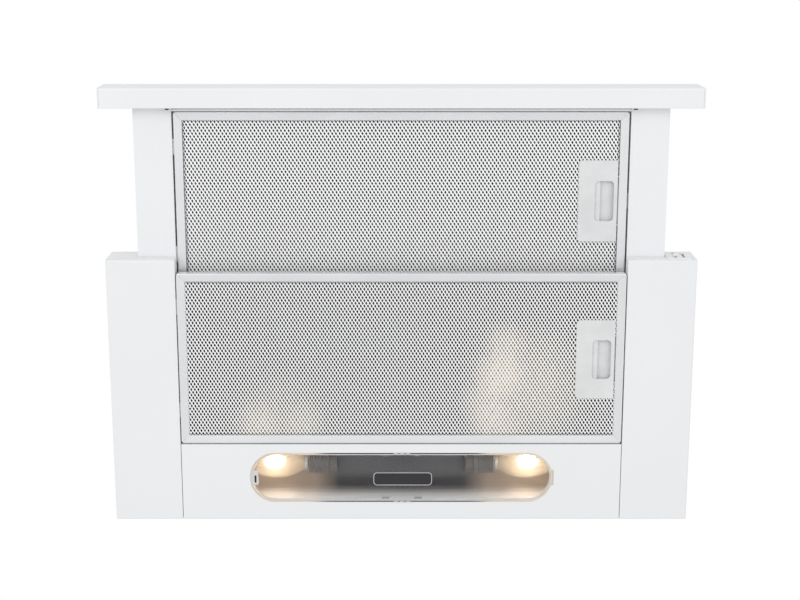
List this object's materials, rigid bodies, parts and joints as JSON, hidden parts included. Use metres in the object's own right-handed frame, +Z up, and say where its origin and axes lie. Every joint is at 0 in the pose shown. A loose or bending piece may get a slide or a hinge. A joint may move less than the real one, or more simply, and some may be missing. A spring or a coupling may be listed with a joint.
{
  "type": "pull out range hood",
  "caption": "Slim cooker hood for under a wall cabinet, its drawer slid out, with mesh grease cassettes that tip down, a capsule lamp lens, slider controls, a fan and a round duct collar.",
  "frame": {"origin": "middle of the four cabinet screws, on the face that meets the underside of the cabinet", "axes": "+X to the user's right, -Y towards the user and the way the drawer comes out, +Z up"},
  "size_m": [0.6, 0.4505, 0.2137],
  "materials": {
    "painted_steel": "satin white enamel",
    "white_plastic": "smooth white moulding",
    "zinc_steel": "zinc plated",
    "frame_aluminium": "satin",
    "mesh_aluminium": "expanded foil",
    "handle_plastic": "satin light grey",
    "grey_plastic": "moulded",
    "dark_plastic": "moulded",
    "black_rubber": "matt",
    "motor_steel": "lacquered laminations",
    "lens_plastic": "smoked clear",
    "bulb_glass": "opal, lit warm"
  },
  "bodies": {
    "base": {"chassis": "painted_steel", "wing_left": "white_plastic", "wing_right": "white_plastic", "lamp_panel": "white_plastic", "rail_outer_left": "zinc_steel", "rail_outer_right": "zinc_steel", "base_screws": "zinc_steel", "housing_shell": "painted_steel", "housing_lid": "painted_steel", "housing_screws": "zinc_steel", "outlet_collar": "dark_plastic", "flap_spindle": "zinc_steel", "outlet_box": "grey_plastic", "fan_scroll": "grey_plastic", "inlet_ring": "dark_plastic", "motor": "motor_steel", "motor_bracket": "zinc_steel", "motor_grommets": "black_rubber", "capacitor": "grey_plastic", "terminal_box": "grey_plastic", "cable_gland": "dark_plastic", "control_bezel": "white_plastic", "switch_box": "dark_plastic", "lamp_tray": "zinc_steel", "holder_left": "dark_plastic", "holder_right": "dark_plastic", "bulb_left": "bulb_glass", "bulb_right": "bulb_glass"},
    "flap_left_body": {"flap_left": "grey_plastic"},
    "flap_right_body": {"flap_right": "grey_plastic"},
    "rotor": {"impeller": "dark_plastic", "fan_shaft": "zinc_steel", "fan_nut": "zinc_steel"},
    "speed_slider": {"speed_knob": "white_plastic"},
    "light_slider": {"light_knob": "white_plastic"},
    "lens_body": {"lens": "lens_plastic"},
    "drawer": {"fascia": "painted_steel", "fascia_cap_left": "white_plastic", "fascia_cap_right": "white_plastic", "fascia_strip": "painted_steel", "fascia_screws": "zinc_steel", "buffers": "black_rubber", "drawer_side_left": "painted_steel", "drawer_side_right": "painted_steel", "drawer_front_rail": "painted_steel", "drawer_rear_rail": "painted_steel", "drawer_top": "painted_steel", "drawer_glides": "white_plastic"},
    "front_cassette": {"front_frame": "frame_aluminium", "front_mesh": "mesh_aluminium", "front_pad": "mesh_aluminium", "front_back_mesh": "mesh_aluminium", "front_handle": "handle_plastic"},
    "front_catch": {"front_latch": "white_plastic"},
    "rear_cassette": {"rear_frame": "frame_aluminium", "rear_mesh": "mesh_aluminium", "rear_pad": "mesh_aluminium", "rear_back_mesh": "mesh_aluminium", "rear_handle": "handle_plastic"},
    "rear_catch": {"rear_latch": "white_plastic"}
  },
  "joints": [
    {"name": "drawer_slide", "type": "slide", "parent": "base", "child": "drawer", "axis": [0, 1, 0], "range_m": [0, 0.15]},
    {"name": "rear_cassette_tip", "type": "hinge", "parent": "base", "child": "rear_cassette", "pos_m": [-0.2272, -0.0351, -0.0422], "axis": [0, -1, 0], "range_deg": [-55, 0]},
    {"name": "rear_latch_slide", "type": "slide", "parent": "rear_cassette", "child": "rear_catch", "axis": [1, 0, 0], "range_m": [-0.005, 0], "stiffness_N_per_m": 400},
    {"name": "front_cassette_tip", "type": "hinge", "parent": "drawer", "child": "front_cassette", "pos_m": [-0.2272, -0.1963, -0.0242], "axis": [0, -1, 0], "range_deg": [-55, 0]},
    {"name": "front_latch_slide", "type": "slide", "parent": "front_cassette", "child": "front_catch", "axis": [1, 0, 0], "range_m": [-0.005, 0], "stiffness_N_per_m": 400},
    {"name": "lens_tip", "type": "hinge", "parent": "base", "child": "lens_body", "pos_m": [0.1565, 0.0926, -0.0423], "axis": [0, 1, 0], "range_deg": [-70, 0]},
    {"name": "fan_spin", "type": "hinge", "parent": "base", "child": "rotor", "pos_m": [-0.112, -0.004, 0.04], "axis": [0, 0, 1], "continuous": true},
    {"name": "speed_slide", "type": "slide", "parent": "base", "child": "speed_slider", "axis": [0, 0, 1], "range_m": [-0.005, 0.01]},
    {"name": "light_slide", "type": "slide", "parent": "base", "child": "light_slider", "axis": [0, 0, 1], "range_m": [-0.008, 0]},
    {"name": "flap_left_swing", "type": "hinge", "parent": "base", "child": "flap_left_body", "pos_m": [0, 0.066, 0.146], "axis": [0, 1, 0], "range_deg": [0, 75]},
    {"name": "flap_right_swing", "type": "hinge", "parent": "base", "child": "flap_right_body", "pos_m": [0, 0.066, 0.146], "axis": [0, -1, 0], "range_deg": [0, 75]}
  ],
  "couplings": [
    {"joint": "front_cassette_tip", "follows": "rear_cassette_tip", "ratio": 1}
  ]
}
